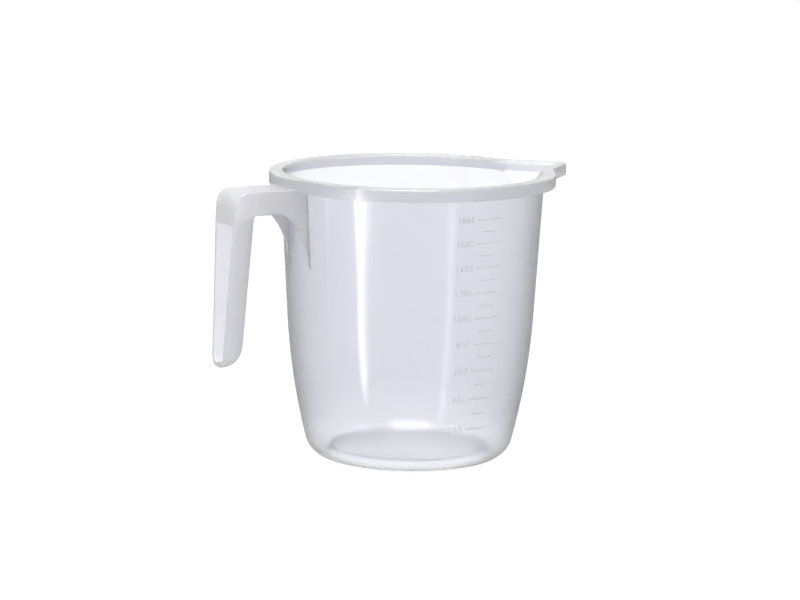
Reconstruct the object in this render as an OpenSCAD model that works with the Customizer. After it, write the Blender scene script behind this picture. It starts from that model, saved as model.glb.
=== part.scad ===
// Measuring jug of about two litres, moulded in one shot from clear polypropylene.
// The resting face lies on z = 0, the bowl's axis is Z, the spout points along +X
// and the handle along -X. The scale faces -Y, a quarter turn from the spout.
// Millimetres throughout.

/* [Bowl] */
// Height from the resting face to the top of the rim
height = 158.5; // [145:0.5:185]
// Outer radius of the wall, carried up to the top of the rim
mouth_radius = 72.6; // [66:0.2:80]
// Thickness of the wall
wall = 1.5; // [1:0.1:2.2]
// Lean of the straight upper wall, in degrees from upright
wall_lean = 3.4; // [2:0.1:5]
// Height where the straight wall starts to curve in
belly_start = 78.5; // [65:0.5:100]
// Radius of the long curve below that height
belly_radius = 360; // [300:5:500]
// Outer radius of the corner between wall and base
corner_radius = 13.5; // [9:0.5:18]

/* [Base] */
// Height of the hollow under the raised floor
base_hollow = 4.5; // [3:0.1:6]
// Thickness of the floor
floor_thickness = 1.8; // [1.2:0.1:2.6]
// Radial thickness of the ring that the jug stands on
foot_width = 1.5; // [1:0.1:3]

/* [Rim] */
// How far the rim band stands out from the line of the wall
rim_overhang = 6.1; // [5:0.1:10]
// Height of the rim band, its flat top included
band_height = 6.8; // [5:0.1:10]
// Thickness of the flat top of the rim
flange_thickness = 1.5; // [1:0.1:2.4]
// Thickness of the band that hangs from the flat top
band_thickness = 1.4; // [1:0.1:2]

/* [Spout] */
// How far the spout reaches beyond the round of the rim band
spout_overhang = 18.8; // [14:0.2:26]
// Half of the angle between the two sides of the spout, in degrees
spout_half_angle = 43; // [36:1:48]
// Radius of the rounded front of the rim band at the spout
spout_nose_radius = 6; // [3:0.5:8]
// Width of the flat lip along the sides of the spout
lip_width = 4; // [3.5:0.1:5.5]
// Radius along the bottom of the pouring channel
channel_radius = 2; // [1:0.1:3.5]
// Depth of the pouring channel where it leaves the bowl
channel_depth = 17; // [12:0.5:24]

/* [Handle] */
// Width of the handle
handle_width = 25; // [18:0.5:30]
// How far the handle's back stands out from the rim band, at the top
handle_overhang = 34.5; // [28:0.1:45]
// Distance from the top of the handle to its free lower end
handle_drop = 95.5; // [80:0.5:110]
// Height of the level arm between bowl and grip
arm_height = 13; // [10:0.5:18]
// How far the arm's top stands above the lower edge of the rim band
arm_rise = 1.8; // [0.6:0.1:3]
// Thickness of the handle's skins and side ribs
rib_thickness = 2.3; // [1.6:0.1:2.8]
// Width that the grip tapers to at its free end
grip_end_width = 15; // [12:0.5:20]
// Depth of the grip, front to back, just below the arm
grip_depth = 11.4; // [9:0.1:14]
// Depth of the grip near its free end, before its front curves in
grip_end_depth = 10.6; // [8:0.1:13]
// Outward lean of the grip's back, in degrees
grip_lean = 2.85; // [1:0.05:4]
// Slope of the upper end of the trough in the grip's back, in degrees
trough_slope = 23; // [15:1:40]
// Radius of the outer elbow between arm and grip
elbow_radius = 8; // [5:0.5:11]
// Radius of the inner elbow between arm and grip
crook_radius = 1.5; // [1:0.1:5]
// How far the blend under the arm reaches out from the bowl
root_reach = 18.5; // [10:0.5:22]
// How far the blend under the arm would run down to lie along the bowl
root_drop = 40; // [20:1:50]
// Width of the flat in the middle of the grip's rounded lower end, seen from behind
grip_end_flat = 3; // [2:0.5:8]
// Height over which the grip's front curves in to its free end
grip_end_rise = 12.5; // [6:0.5:16]

/* [Scale] */
// Distance from the top of the rim down to the highest mark
scale_drop = 17.7; // [15:0.1:30]
// Number of numbered marks
mark_count = 9; // [4:1:9]
// Length of a numbered mark, along the wall
long_mark = 15; // [10:0.5:20]
// Length of a mark that lies half way between two numbered ones
short_mark = 9; // [5:0.5:10]
// Height of each raised line
mark_thickness = 0.8; // [0.4:0.1:1.2]
// How far lines and numerals stand out from the wall
relief = 0.3; // [0.2:0.05:0.5]
// Height of a numeral
numeral_height = 3.4; // [2.4:0.1:5]
// Width of a numeral
numeral_width = 1.9; // [1.4:0.1:2.4]
// Distance from one numeral to the next
numeral_pitch = 2.6; // [2.5:0.1:3.4]
// Width of a numeral's stroke
stroke = 0.45; // [0.3:0.05:0.6]
// Gap between the numerals and their mark
numeral_gap = 2.6; // [1:0.1:4]

/* [Hidden] */
$fn = 180;
overrun = 1;
clear_plastic = [0.86, 0.87, 0.9, 0.55];
arc_steps = 10;
volume_steps = 160;
microlitres = 1000;
label_step = 10;
quarter_turn = 90;

// Bowl outline. The straight wall, the long curve and the corner meet tangentially,
// so one distance outwards from the surface gives the same outline at an offset.
belly_x = mouth_radius - (height - belly_start) * tan(wall_lean);
belly_centre = [
    belly_x - belly_radius * cos(wall_lean),
    belly_start + belly_radius * sin(wall_lean)
];
corner_angle = asin((belly_centre.y - corner_radius) / (belly_radius - corner_radius));
corner_centre = [
    belly_centre.x + (belly_radius - corner_radius) * cos(corner_angle),
    corner_radius
];

// Heights and radii that several pieces share
rim_radius = mouth_radius + rim_overhang;
spout_reach = rim_radius + spout_overhang;
handle_reach = rim_radius + handle_overhang;
flange_underside = height - flange_thickness;
band_underside = height - band_height;
floor_top = base_hollow + floor_thickness;
foot_radius = corner_centre.x;
arm_top = band_underside + arm_rise;
arm_underside = arm_top - arm_height;
grip_end = arm_top - handle_drop;
grip_end_radius = (grip_end_width - grip_end_flat) / 2;
grip_taper = atan((handle_width - grip_end_width) / 2 / (arm_underside - grip_end));

function arc_points(centre, radius, from, to) = [
    for (i = [0 : arc_steps])
        let (a = from + (to - from) * i / arc_steps)
        centre + radius * [cos(a), sin(a)]
];

// Points of the outline from the base up to a height, at a distance outwards
function bowl_points(out, top) = concat(
    arc_points(corner_centre, corner_radius + out, -quarter_turn, -corner_angle),
    arc_points(belly_centre, belly_radius + out, -corner_angle, -wall_lean),
    [[straight_radius(top, out), top]]
);

function straight_radius(z, out) =
    belly_x + out / cos(wall_lean) + (z - belly_start) * tan(wall_lean);

function arc_radius(z, centre, radius) = centre.x + sqrt(pow(radius, 2) - pow(z - centre.y, 2));

function bowl_radius(z, out) =
    z > belly_centre.y - (belly_radius + out) * sin(wall_lean) ? straight_radius(z, out)
    : z > belly_centre.y - (belly_radius + out) * sin(corner_angle)
        ? arc_radius(z, belly_centre, belly_radius + out)
    : arc_radius(z, corner_centre, corner_radius + out);

// The bowl as a solid body, used to trim what is attached to it
module bowl_body() {
    rotate_extrude()
        polygon(concat([[0, height + overrun], [0, 0]], bowl_points(0, height + overrun)));
}

// Rounded wedge of the spout, seen from above, as far back as the middle of the bowl
module wedge(apex, nose_radius, half_angle) {
    nose = [apex - nose_radius / sin(half_angle), 0];
    side = apex * sin(half_angle);
    turn = quarter_turn - half_angle;
    polygon(concat(
        [[0, 0], side * [sin(half_angle), -cos(half_angle)]],
        arc_points(nose, nose_radius, -turn, turn),
        [side * [sin(half_angle), cos(half_angle)]]
    ));
}

spout_apex = spout_reach + spout_nose_radius * (1 / sin(spout_half_angle) - 1);

// Outline of the rim band seen from above, drawn in by a distance
module rim_outline(inset) {
    circle(r = rim_radius - inset);
    wedge(
        spout_apex - inset / sin(spout_half_angle),
        spout_nose_radius - inset,
        spout_half_angle
    );
}

// The pouring channel is a straight vee that slopes down from the lip to the wall.
// Its half angle square to that slope is wider than the one seen from above.
channel_apex = spout_apex - lip_width / sin(spout_half_angle);
channel_foot = straight_radius(height - channel_depth, -wall);
channel_slope = atan((channel_apex - channel_foot) / channel_depth);
channel_half_angle = atan(tan(spout_half_angle) / cos(channel_slope));

// Each side of the vee ends inside the bowl, where its plan view is nearest the axis,
// and the prism starts far enough down the slope for that end to reach the rim.
channel_side =
    channel_apex * cos(spout_half_angle) * sin(spout_half_angle) / sin(channel_half_angle);
channel_run = channel_side * cos(channel_half_angle) * tan(channel_slope) + lip_width;

// The vee as a prism along its slope, grown outwards by a distance
module channel_prism(grow) {
    radius = channel_radius + grow;
    nose = -channel_radius / sin(channel_half_angle);
    side = channel_side * [-cos(channel_half_angle), sin(channel_half_angle)];
    turn = quarter_turn - channel_half_angle;
    start = [nose, 0] + radius * [cos(turn), sin(turn)];
    translate([channel_apex, 0, height])
        rotate([0, channel_slope, 0])
            translate([0, 0, -channel_run])
                linear_extrude(height = channel_run + channel_depth)
                    polygon(concat(
                        [[start.x + side.x, -start.y - side.y]],
                        arc_points([nose, 0], radius, -turn, turn),
                        [start + side]
                    ));
}

// Places a side view, drawn as distance from the axis and height, on the handle
module on_handle(width) {
    mirror([1, 0, 0])
        rotate([quarter_turn, 0, 0])
            linear_extrude(height = width, center = true)
                children();
}

// Places a back view, drawn as width and height, through the whole handle
module through_handle() {
    translate([-handle_reach - handle_width, 0, 0])
        rotate([quarter_turn, 0, quarter_turn])
            linear_extrude(height = handle_reach)
                children();
}

function grip_back(z) = handle_reach + (arm_top - z) * tan(grip_lean);
function grip_depth_at(z) =
    grip_end_depth + (grip_depth - grip_end_depth) * (z - grip_end) / (arm_underside - grip_end);
function grip_end_inset(z) =
    (grip_end_depth - wall / 3) * (1 - sqrt(1 - pow(max(1 - (z - grip_end) / grip_end_rise, 0), 2)));
function grip_front(z) = grip_back(z) - grip_depth_at(z) + grip_end_inset(z);

// The arm ends where the inner elbow runs out on its underside
crook_centre = [
    grip_front(arm_underside - crook_radius) - crook_radius, arm_underside - crook_radius
];
arm_end = crook_centre.x;

module bowl_wall() {
    color(clear_plastic)
        difference() {
            rotate_extrude()
                polygon(concat(
                    bowl_points(0, flange_underside),
                    [for (i = [len(bowl_points(0, 0)) - 1 : -1 : 0])
                        bowl_points(-wall, flange_underside)[i]]
                ));
            channel_prism(0);
        }
}

module foot_ring() {
    color(clear_plastic)
        rotate_extrude()
            translate([foot_radius - foot_width, 0])
                square([foot_width, floor_top]);
}

module floor_panel() {
    color(clear_plastic)
        translate([0, 0, base_hollow])
            cylinder(r = foot_radius - foot_width, h = floor_thickness);
}

module rim_flange() {
    color(clear_plastic)
        difference() {
            translate([0, 0, flange_underside])
                linear_extrude(height = flange_thickness)
                    difference() {
                        rim_outline(0);
                        circle(r = straight_radius(flange_underside, -wall));
                    }
            channel_prism(0);
        }
}

module rim_band() {
    color(clear_plastic)
        translate([0, 0, band_underside])
            linear_extrude(height = band_height - flange_thickness)
                difference() {
                    rim_outline(0);
                    rim_outline(band_thickness);
                }
}

module pouring_spout() {
    color(clear_plastic)
        difference() {
            channel_prism(wall);
            channel_prism(0);
            bowl_body();
            translate([0, 0, flange_underside])
                cylinder(r = spout_apex + channel_run, h = height);
        }
}

// Distance out to the bowl, square to the handle's middle plane, where its side ribs are
function bowl_at_rib(z) =
    sqrt(pow(bowl_radius(z, 0), 2) - pow((handle_width - rib_thickness) / 2, 2));

// Side view of the arm, with the long blend that its side ribs run down the bowl in.
// The blend is a quarter of an ellipse and runs out just inside the wall's surface.
module arm_side() {
    low = arm_underside - root_drop;
    bowl = bowl_at_rib(low) - wall;
    polygon(concat(
        [[bowl, low], [bowl, arm_top], [arm_end, arm_top], [arm_end, arm_underside]],
        [for (i = [0 : 2 * arc_steps])
            let (a = quarter_turn * i / arc_steps / 2, z = arm_underside - root_drop * (1 - cos(a)))
            [bowl_at_rib(z) - wall / 3 + root_reach * (1 - sin(a)), z]]
    ));
}

module handle_arm() {
    color(clear_plastic)
        difference() {
            on_handle(handle_width) arm_side();
            on_handle(handle_width - 2 * rib_thickness)
                square([arm_end, arm_top - rib_thickness]);
            bowl_body();
            translate([0, 0, band_underside])
                cylinder(r = rim_radius, h = height);
        }
}

// Points of the grip's front, from a height up to the end of its curve, moved back
function front_points(from, back) = [
    for (i = [0 : arc_steps])
        let (z = from + (grip_end + grip_end_rise - from) * (1 - cos(quarter_turn * i / arc_steps)))
        [grip_front(z) + back, z]
];

// Side view of the grip, from the elbow to the free end
module grip_side() {
    elbow = [grip_back(arm_top - elbow_radius) - elbow_radius, arm_top - elbow_radius];
    polygon(concat(
        [[arm_end, arm_top]],
        arc_points(elbow, elbow_radius, quarter_turn, 0),
        [[grip_back(grip_end), grip_end]],
        front_points(grip_end, 0),
        arc_points(crook_centre, crook_radius, 0, quarter_turn)
    ));
}

// Back view of the grip, drawn in by a distance for the trough in it. It tapers below
// the arm, down to an end with rounded corners that its sides run into.
module grip_back_view(inset) {
    upper = handle_width / 2 - inset;
    end = grip_end + inset;
    corner = grip_end_radius - inset;
    corner_x = upper - (arm_underside - end - corner) * tan(grip_taper) - corner / cos(grip_taper);
    polygon(concat(
        arc_points([corner_x, end + corner], corner, -grip_taper, -quarter_turn),
        arc_points([-corner_x, end + corner], corner, -quarter_turn, grip_taper - 2 * quarter_turn),
        [[-upper, arm_underside], [-upper, height], [upper, height], [upper, arm_underside]]
    ));
}

// Side view of the trough in the grip's back. Its upper end slopes up to the web.
module trough_side() {
    lower = grip_end + rib_thickness;
    upper = arm_underside - rib_thickness / 2;
    upper_back = upper - (grip_depth - rib_thickness) * tan(trough_slope);
    polygon(concat(
        front_points(lower, rib_thickness),
        [
            [grip_front(upper) + rib_thickness, upper],
            [grip_back(upper_back), upper_back],
            [grip_back(upper_back) + handle_width, upper_back],
            [grip_back(lower) + handle_width, lower]
        ]
    ));
}

module handle_grip() {
    color(clear_plastic)
        difference() {
            intersection() {
                on_handle(handle_width) grip_side();
                through_handle() grip_back_view(0);
            }
            intersection() {
                on_handle(handle_width) trough_side();
                through_handle() grip_back_view(rib_thickness);
            }
        }
}

// Volume of the bowl up to each of a run of heights, as pairs of height and volume
function held_area(z) =
    PI * (pow(bowl_radius(z, -wall), 2) - (z < floor_top ? pow(foot_radius, 2) : 0));
slice = (height - wall) / volume_steps;
held_volumes = [
    for (i = 0, v = 0; i < volume_steps; v = v + held_area(wall + (i + 1 / 2) * slice) * slice, i = i + 1)
        [wall + i * slice, v]
];
held_heights = [for (pair = held_volumes) [pair.y, pair.x]];

// The highest mark sets the volume between numbered marks, and the bowl their heights.
// The numerals give that volume to the nearest ten millilitres.
mark_volume = lookup(height - scale_drop, held_volumes) / mark_count;
label_volume = round(mark_volume / microlitres / label_step) * label_step;
function mark_height(count) = lookup(count * mark_volume, held_heights);

// Angle that a length takes up along the wall at a height
function wall_angle(length, z) = length / bowl_radius(z, 0) * 180 / PI;

// One raised line, starting a distance along the wall from the middle of the scale
module mark_line(z, start, length) {
    low = z - mark_thickness / 2;
    high = z + mark_thickness / 2;
    rotate([0, 0, wall_angle(start, z) - quarter_turn])
        rotate_extrude(angle = wall_angle(length, z))
            polygon([
                [bowl_radius(low, 0), low], [bowl_radius(low, relief), low],
                [bowl_radius(high, relief), high], [bowl_radius(high, 0), high]
            ]);
}

mark_start = numeral_gap / 2;

module long_marks() {
    color(clear_plastic)
        for (count = [1 : mark_count])
            mark_line(mark_height(count), mark_start, long_mark);
}

module short_marks() {
    color(clear_plastic)
        for (count = [1 : mark_count - 1])
            mark_line(
                mark_height(count + 1 / 2), mark_start + (long_mark - short_mark) / 2, short_mark
            );
}

// Strokes of the numerals from 0 to 9, as shares of a numeral's width and height
numeral_shares = [
    [[[0, 0.2], [0.25, 0], [0.75, 0], [1, 0.2], [1, 0.8], [0.75, 1], [0.25, 1], [0, 0.8], [0, 0.2]]],
    [[[0.2, 0.75], [0.6, 1], [0.6, 0]]],
    [[[0, 0.8], [0.25, 1], [0.75, 1], [1, 0.8], [1, 0.6], [0, 0], [1, 0]]],
    [[[0, 1], [1, 1], [0.5, 0.6], [1, 0.45], [1, 0.2], [0.75, 0], [0.25, 0], [0, 0.15]]],
    [[[0.75, 0], [0.75, 1], [0, 0.3], [1, 0.3]]],
    [[[1, 1], [0.1, 1], [0, 0.55], [0.75, 0.6], [1, 0.4], [1, 0.2], [0.75, 0], [0, 0.05]]],
    [[[0.9, 1], [0.3, 0.9], [0, 0.5], [0, 0.2], [0.25, 0], [0.75, 0], [1, 0.2], [1, 0.4],
        [0.75, 0.58], [0, 0.45]]],
    [[[0, 1], [1, 1], [0.35, 0]]],
    [[[0.25, 0.53], [0, 0.75], [0.25, 1], [0.75, 1], [1, 0.75], [0.75, 0.53], [0.25, 0.53],
        [0, 0.25], [0.25, 0], [0.75, 0], [1, 0.25], [0.75, 0.53]]],
    [[[0.1, 0], [0.7, 0.1], [1, 0.5], [1, 0.8], [0.75, 1], [0.25, 1], [0, 0.8], [0, 0.6],
        [0.25, 0.42], [1, 0.55]]]
];

// A bar between two points, as wide as the stroke and longer by its width
module bar(from, to) {
    run = to - from;
    translate(from)
        rotate(atan2(run.y, run.x))
            translate([-stroke / 2, -stroke / 2])
                square([norm(run) + stroke, stroke]);
}

module numeral(digit) {
    size = [numeral_width - stroke, numeral_height - stroke];
    for (line = numeral_shares[digit])
        for (i = [1 : len(line) - 1])
            bar(
                [line[i - 1].x * size.x, (line[i - 1].y - 1 / 2) * size.y],
                [line[i].x * size.x, (line[i].y - 1 / 2) * size.y]
            );
}

// A whole number, written so that it ends at the left end of its mark
module number(value) {
    text_digits = str(value);
    for (i = [0 : len(text_digits) - 1])
        translate([(i - len(text_digits)) * numeral_pitch + numeral_pitch - numeral_width, 0])
            numeral(ord(text_digits[i]) - ord("0"));
}

// The thin layer that the relief of the numerals fills, around the scale
module relief_layer(z) {
    low = z - numeral_height;
    high = z + numeral_height;
    rotate([0, 0, -quarter_turn * 3 / 2])
        rotate_extrude(angle = quarter_turn)
            polygon([
                [bowl_radius(low, 0), low], [bowl_radius(low, relief), low],
                [bowl_radius(high, relief), high], [bowl_radius(high, 0), high]
            ]);
}

module scale_numerals() {
    color(clear_plastic)
        for (count = [1 : mark_count])
            let (z = mark_height(count))
            intersection() {
                relief_layer(z);
                translate([-numeral_gap / 2, 0, z])
                    rotate([quarter_turn, 0, 0])
                        linear_extrude(height = rim_radius)
                            number(count * label_volume);
            }
}

bowl_wall();
foot_ring();
floor_panel();
rim_flange();
rim_band();
pouring_spout();
handle_arm();
handle_grip();
long_marks();
short_marks();
scale_numerals();
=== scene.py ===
"""Looks of a clear plastic measuring jug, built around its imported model.

The shape classes work in millimetres, in the model's own frame: Z is the bowl's axis, the
spout points along +X, the handle along -X, and the scale faces -Y. Meshes are made in metres.
"""

import logging
import math
from collections import Counter
from dataclasses import dataclass, field
from enum import IntEnum, StrEnum
from typing import ClassVar, Iterable, Sequence

import bmesh
import bpy
import numpy as np
from mathutils import Matrix
from mathutils.kdtree import KDTree


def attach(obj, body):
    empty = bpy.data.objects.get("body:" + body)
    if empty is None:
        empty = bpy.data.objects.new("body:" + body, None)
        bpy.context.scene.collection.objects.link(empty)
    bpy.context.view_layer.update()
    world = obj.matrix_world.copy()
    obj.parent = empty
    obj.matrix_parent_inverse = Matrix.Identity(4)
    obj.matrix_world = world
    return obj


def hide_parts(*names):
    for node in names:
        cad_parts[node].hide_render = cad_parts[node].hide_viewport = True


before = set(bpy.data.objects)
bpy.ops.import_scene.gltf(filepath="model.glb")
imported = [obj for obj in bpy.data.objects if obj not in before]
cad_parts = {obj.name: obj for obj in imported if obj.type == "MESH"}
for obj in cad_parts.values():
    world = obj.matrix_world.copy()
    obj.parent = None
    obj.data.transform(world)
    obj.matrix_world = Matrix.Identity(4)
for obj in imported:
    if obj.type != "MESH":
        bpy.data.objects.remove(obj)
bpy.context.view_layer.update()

LOG = logging.getLogger("measuring_jug")
MM = 0.001
BODY = "root"

# Places of the colour sockets on a mix node, whose sockets share their names
MIX_SHARE, MIX_FIRST, MIX_SECOND, MIX_RESULT = 0, 6, 7, 2
# Range that most of a noise pattern lies in
NOISE_LOW, NOISE_HIGH = 0.3, 0.7

Face = tuple[int, ...]
Colour = tuple[float, float, float]
Points = np.ndarray


class Feature(IntEnum):
    """The features of the moulding. Each is one named piece."""

    BOWL_WALL = 0
    FOOT_RING = 1
    FLOOR_PANEL = 2
    RIM_FLANGE = 3
    RIM_BAND = 4
    POURING_SPOUT = 5
    HANDLE_ARM = 6
    HANDLE_GRIP = 7

    @property
    def piece(self) -> str:
        """The feature's name as the model has it."""
        return self.name.lower()


class Slot(StrEnum):
    """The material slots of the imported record."""

    PLASTIC = "clear_plastic"
    RELIEF = "scale_relief"


# --------------------------------------------------------------------------- finishes


class NodeSheet:
    """A small helper that lays nodes out in a finish or in the surround."""

    def __init__(self, owner: bpy.types.Material | bpy.types.World) -> None:
        """Takes over an owner's node tree and empties it.

        Args:
            owner: Material or world that the nodes belong to.
        """
        owner.use_nodes = True
        self.owner = owner
        self.tree = owner.node_tree
        self.tree.nodes.clear()

    @classmethod
    def finish(cls, name: str) -> "NodeSheet":
        """Makes a sheet in a new material."""
        return cls(bpy.data.materials.new(name))

    def add(self, kind: str, **values: object) -> bpy.types.Node:
        """Adds a node and sets its properties and input sockets.

        Args:
            kind: Blender's name of the node type.
            **values: Properties by name, or sockets by name with _ for a space. A socket takes
                a plain value or another node's output.

        Returns:
            The new node.
        """
        node = self.tree.nodes.new(kind)
        for key, value in values.items():
            if hasattr(node, key):
                setattr(node, key, value)
                continue
            socket = node.inputs[key.replace("_", " ")]
            if isinstance(value, bpy.types.NodeSocket):
                self.tree.links.new(value, socket)
            else:
                socket.default_value = value
        return node

    def show(self, kind: str, surface: bpy.types.NodeSocket) -> None:
        """Ends the sheet in an output node that shows a surface."""
        self.add(kind, Surface=surface)

    def ramp(
        self, value: bpy.types.NodeSocket, start: float, end: float,
        low: float | bpy.types.NodeSocket = 0.0, high: float = 1.0,
    ) -> bpy.types.NodeSocket:
        """Maps a value from one range to another.

        Args:
            value: The value's socket.
            start: Value that gives the lowest result.
            end: Value that gives the highest result.
            low: The lowest result.
            high: The highest result.

        Returns:
            The result's socket.
        """
        node = self.add(
            "ShaderNodeMapRange", Value=value, From_Min=start, From_Max=end, To_Min=low,
            To_Max=high,
        )
        return node.outputs["Result"]

    def mix(
        self, share: bpy.types.NodeSocket, first: Colour | bpy.types.NodeSocket,
        second: Colour | bpy.types.NodeSocket,
    ) -> bpy.types.NodeSocket:
        """Mixes two colours.

        Args:
            share: Share of the second colour.
            first: Colour or socket that shows where the share is zero.
            second: Colour or socket that shows where the share is one.

        Returns:
            The mixed colour's socket.
        """
        node = self.add("ShaderNodeMix", data_type="RGBA")
        self.tree.links.new(share, node.inputs[MIX_SHARE])
        for number, value in ((MIX_FIRST, first), (MIX_SECOND, second)):
            if isinstance(value, bpy.types.NodeSocket):
                self.tree.links.new(value, node.inputs[number])
            else:
                node.inputs[number].default_value = (*value, 1.0)
        return node.outputs[MIX_RESULT]

    def seen(self, straight: float, mirrored: float, rest: float) -> bpy.types.NodeSocket:
        """Level that depends on how a surface is seen.

        Args:
            straight: Level for what is seen straight on.
            mirrored: Level for what is seen mirrored.
            rest: Level for the light that it gives. What is seen through plastic has level one.

        Returns:
            The level's socket.
        """
        path = self.add("ShaderNodeLightPath")
        level = rest
        for ray, value in (("Is Glossy Ray", mirrored), ("Is Transmission Ray", 1.0),
                           ("Is Camera Ray", straight)):
            level = self.ramp(path.outputs[ray], 0.0, 1.0, level, value)
        return level


@dataclass(frozen=True)
class MilkyPlastic:
    """Clear polypropylene: smooth outside, milky inside and a little uneven from moulding.

    Where the surface is seen aslant its colour is darkened: painted shade along the edges,
    which the longer path through the plastic there bears out only in small part. Towards the
    base the colour is lightened: painted light bounced from the white floor. The streaks that
    the flow leaves fade out towards the rim.
    """

    name: str = "milky_clear_wall"
    colour: Colour = (0.8, 0.805, 0.845)
    # Painted shade along the edges: colour where the surface is seen aslant, and how sharply it
    # sets in.
    slant_colour: Colour = (0.31, 0.315, 0.34)
    slant_power: float = 2.5
    # Painted light from the white floor: colour at the base, and the height over which it fades
    # out.
    foot_colour: Colour = (0.92, 0.92, 0.95)
    foot_fade: float = 0.03
    clearness: float = 0.95
    refraction: float = 1.49
    clearest: float = 0.1
    haziest: float = 0.2
    gloss: float = 0.6
    gloss_blur: float = 0.04
    flow_scale: float = 26.0
    flow_stretch: tuple[float, float, float] = (1.0, 1.0, 0.35)
    flow_shade: float = 0.98
    even_from: float = 0.1
    even_to: float = 0.145
    wave_share: float = 0.6
    wave_strength: float = 0.6
    wave_height: float = 0.00012

    def _shade(
        self, sheet: NodeSheet, flow: bpy.types.NodeSocket, height: bpy.types.NodeSocket
    ) -> bpy.types.NodeSocket:
        """Lays out the colour.

        Args:
            sheet: Nodes of the finish.
            flow: Pattern that the flow of the plastic leaves.
            height: Height above the base.

        Returns:
            The colour's socket.
        """
        streaked = tuple(c * self.flow_shade for c in self.colour)
        tint = sheet.mix(flow, streaked, self.colour)
        even = sheet.mix(sheet.ramp(height, self.even_from, self.even_to), tint, self.colour)
        # Painted shade: the colour darkens where the surface is seen aslant, towards its edges.
        facing = sheet.add("ShaderNodeLayerWeight", Blend=0.5).outputs["Facing"]
        aslant = sheet.add("ShaderNodeMath", operation="POWER", Value=facing)
        aslant.inputs[1].default_value = self.slant_power
        shaded = sheet.mix(aslant.outputs[0], even, self.slant_colour)
        # Painted light: the colour pales towards the base, as light bounced from the white floor
        # makes it.
        return sheet.mix(sheet.ramp(height, 0.0, self.foot_fade), self.foot_colour, shaded)

    def material(self) -> bpy.types.Material:
        """Builds the node-based finish.

        Returns:
            The new material.
        """
        sheet = NodeSheet.finish(self.name)
        at = sheet.add("ShaderNodeTexCoord").outputs["Object"]
        height = sheet.add("ShaderNodeSeparateXYZ", Vector=at).outputs["Z"]
        drawn = sheet.add("ShaderNodeMapping", Vector=at, Scale=self.flow_stretch).outputs[0]
        flow = sheet.add(
            "ShaderNodeTexNoise", Vector=drawn, Scale=self.flow_scale, Detail=4.0, Roughness=0.55
        ).outputs["Fac"]
        swell = sheet.add(
            "ShaderNodeTexNoise", Vector=drawn, Scale=self.flow_scale * self.wave_share, Detail=1.0
        ).outputs["Fac"]
        wave = sheet.add(
            "ShaderNodeBump", Height=swell, Strength=self.wave_strength, Distance=self.wave_height
        )
        plastic = sheet.add(
            "ShaderNodeBsdfPrincipled",
            Base_Color=self._shade(sheet, flow, height),
            Roughness=sheet.ramp(flow, NOISE_LOW, NOISE_HIGH, self.clearest, self.haziest),
            Normal=wave.outputs["Normal"],
            IOR=self.refraction,
            Transmission_Weight=self.clearness,
            Coat_Weight=self.gloss,
            Coat_Roughness=self.gloss_blur,
            Coat_IOR=self.refraction,
        )
        sheet.show("ShaderNodeOutputMaterial", plastic.outputs["BSDF"])
        return sheet.owner


@dataclass(frozen=True)
class InnerJoin:
    """Finish of the faces where two features of the one moulding meet: nothing to see."""

    name: str = "inside_of_the_moulding"

    def material(self) -> bpy.types.Material:
        """Builds the fully see-through finish.

        Returns:
            The new material.
        """
        sheet = NodeSheet.finish(self.name)
        nothing = sheet.add("ShaderNodeBsdfPrincipled", Alpha=0.0)
        sheet.show("ShaderNodeOutputMaterial", nothing.outputs["BSDF"])
        return sheet.owner


PALE: Colour = (0.97, 0.97, 1.0)
# Each finish sets its own painted edge shade colour; the base's equals its colour, as does its
# painted floor light, so it shows neither.
BASE = MilkyPlastic(
    name="milky_base", colour=PALE, slant_colour=PALE, foot_colour=PALE, refraction=1.1,
    clearest=0.4, haziest=0.5,
)
RIM = MilkyPlastic(
    name="milky_rim", colour=(0.91, 0.91, 0.94), slant_colour=(0.74, 0.74, 0.77),
    clearness=0.8, clearest=0.3, haziest=0.4, gloss=0.9, gloss_blur=0.1,
)
ARM = MilkyPlastic(
    name="milky_arm", colour=PALE, slant_colour=(0.92, 0.92, 0.95), clearness=0.32,
    refraction=1.25, clearest=0.5, haziest=0.6, gloss=0.5, gloss_blur=0.12,
)
GRIP = MilkyPlastic(
    name="milky_grip", colour=PALE, slant_colour=(0.9, 0.9, 0.93), clearness=0.6,
    clearest=0.4, haziest=0.5, gloss=0.9, gloss_blur=0.08,
)
RELIEF = MilkyPlastic(
    name="raised_plastic", colour=(0.83, 0.83, 0.85), slant_colour=(0.73, 0.73, 0.75),
    refraction=1.2, clearest=0.05, haziest=0.1, gloss=0.0,
)
MOULDED_FINISHES = (
    (MilkyPlastic(), (Feature.BOWL_WALL, Feature.POURING_SPOUT)),
    (BASE, (Feature.FOOT_RING, Feature.FLOOR_PANEL)),
    (RIM, (Feature.RIM_FLANGE, Feature.RIM_BAND)),
    (ARM, (Feature.HANDLE_ARM,)),
    (GRIP, (Feature.HANDLE_GRIP,)),
)


# --------------------------------------------------------------------------- outlines


def polar_line(angle: Points, middle: float, radius: float, half_angle: float) -> Points:
    """Radius at which rays from the axis meet a rounded wedge that points along +X.

    Args:
        angle: Directions of the rays in radians.
        middle: Distance from the axis to the centre of the wedge's rounding.
        radius: Radius of the rounding.
        half_angle: Half of the wedge's angle in radians.

    Returns:
        The radius for each ray, and zero where the wedge lies behind the axis.
    """
    turn = np.abs(angle)
    facing = math.pi / 2 - half_angle
    side = (middle * math.sin(half_angle) + radius) / np.sin(
        np.clip(turn + half_angle, 1e-3, math.pi - 1e-3)
    )
    touch = math.atan2(radius * math.sin(facing), middle + radius * math.cos(facing))
    under_root = np.clip(radius**2 - (middle * np.sin(turn)) ** 2, 0.0, None)
    nose = middle * np.cos(turn) + np.sqrt(under_root)
    return np.where(turn < touch, nose, np.where(turn < facing, side, 0.0))


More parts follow.
